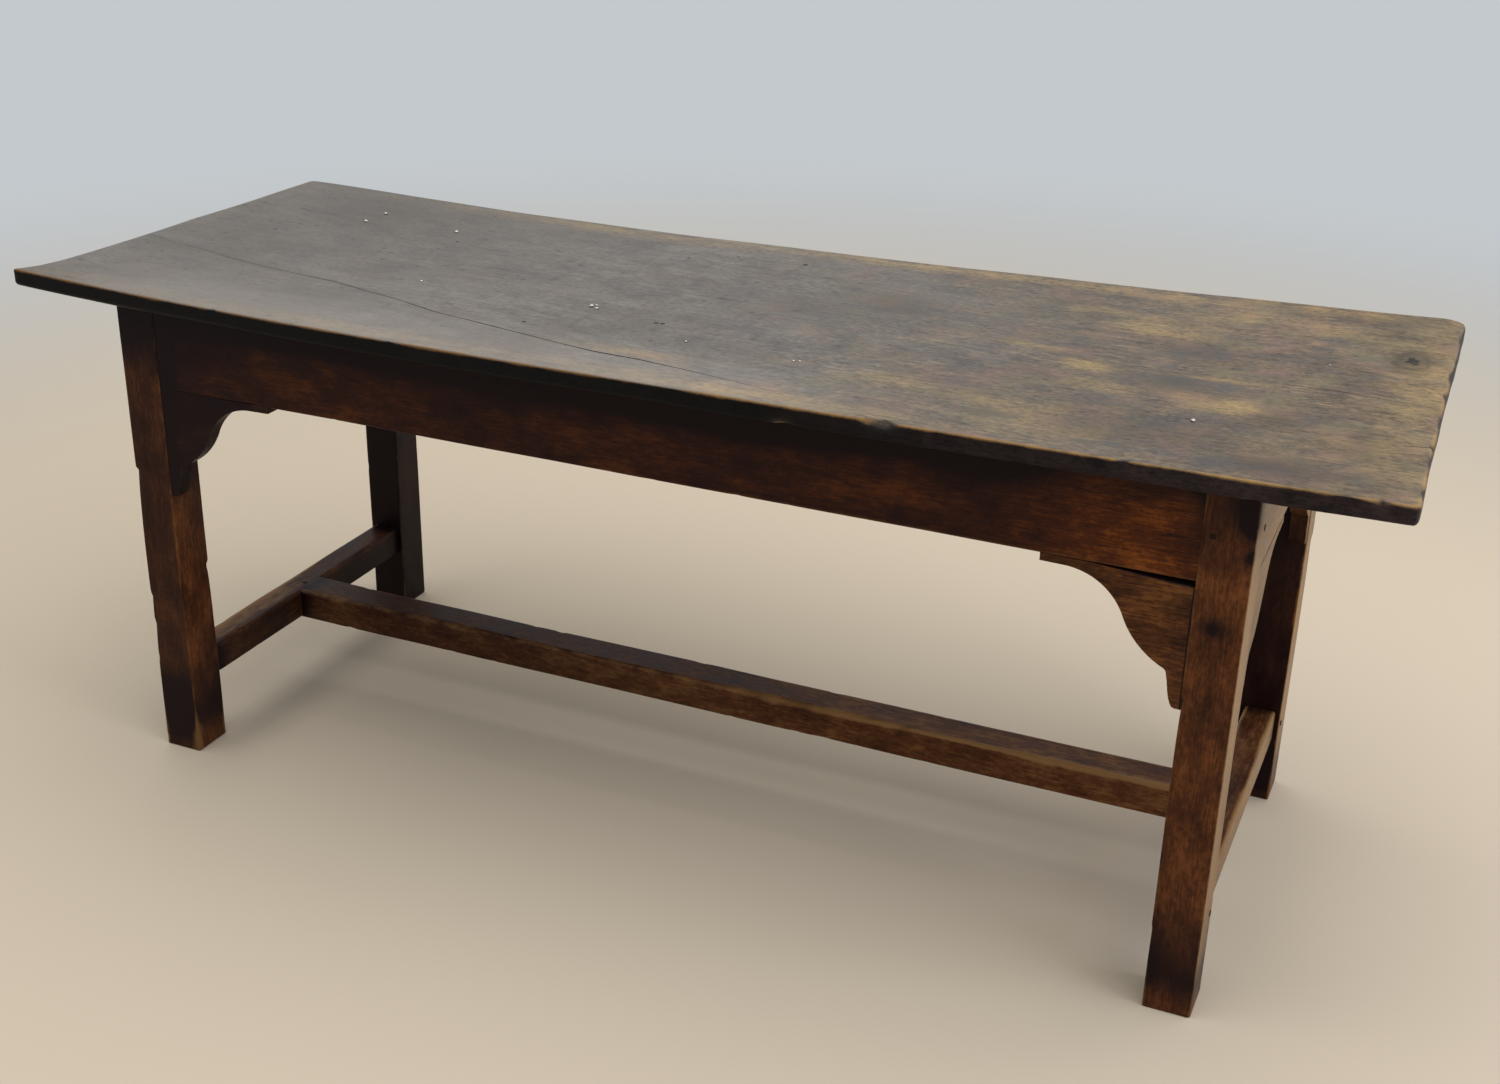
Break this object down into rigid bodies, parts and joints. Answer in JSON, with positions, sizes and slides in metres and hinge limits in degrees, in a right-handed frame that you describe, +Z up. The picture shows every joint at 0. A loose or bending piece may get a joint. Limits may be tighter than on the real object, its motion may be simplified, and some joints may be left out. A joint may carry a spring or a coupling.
{
  "type": "refectory table",
  "caption": "Long joined oak dining table with a wide plank top, square legs, ogee corner brackets and low H-shaped stretchers, held together with wooden pegs.",
  "frame": {"origin": "on the floor, under the middle of the leg frame; the tapered plank's box is centred within 9 mm of it", "axes": "+X along the table to the right as seen from the front, +Y from front to back, +Z up"},
  "size_m": [1.9368, 0.7325, 0.756],
  "materials": {
    "top_oak": "waxed, worn satin",
    "leg_oak": "waxed, worn satin",
    "rail_oak": "waxed, worn satin",
    "bracket_oak": "waxed, worn satin",
    "stretcher_oak": "foot-worn satin",
    "peg_oak": "dry, dark end grain"
  },
  "bodies": {
    "root": {"top_plank": "top_oak", "front_left_leg": "leg_oak", "back_left_leg": "leg_oak", "front_right_leg": "leg_oak", "back_right_leg": "leg_oak", "front_rail": "rail_oak", "back_rail": "rail_oak", "left_end_rail": "rail_oak", "right_end_rail": "rail_oak", "front_left_bracket": "bracket_oak", "back_left_bracket": "bracket_oak", "front_right_bracket": "bracket_oak", "back_right_bracket": "bracket_oak", "left_end_front_bracket": "bracket_oak", "left_end_back_bracket": "bracket_oak", "right_end_front_bracket": "bracket_oak", "right_end_back_bracket": "bracket_oak", "left_end_stretcher": "stretcher_oak", "right_end_stretcher": "stretcher_oak", "centre_stretcher": "stretcher_oak", "long_rail_pegs": "peg_oak", "end_rail_pegs": "peg_oak", "stretcher_pegs": "peg_oak", "centre_stretcher_pegs": "peg_oak", "top_pegs": "peg_oak"}
  },
  "joints": []
}
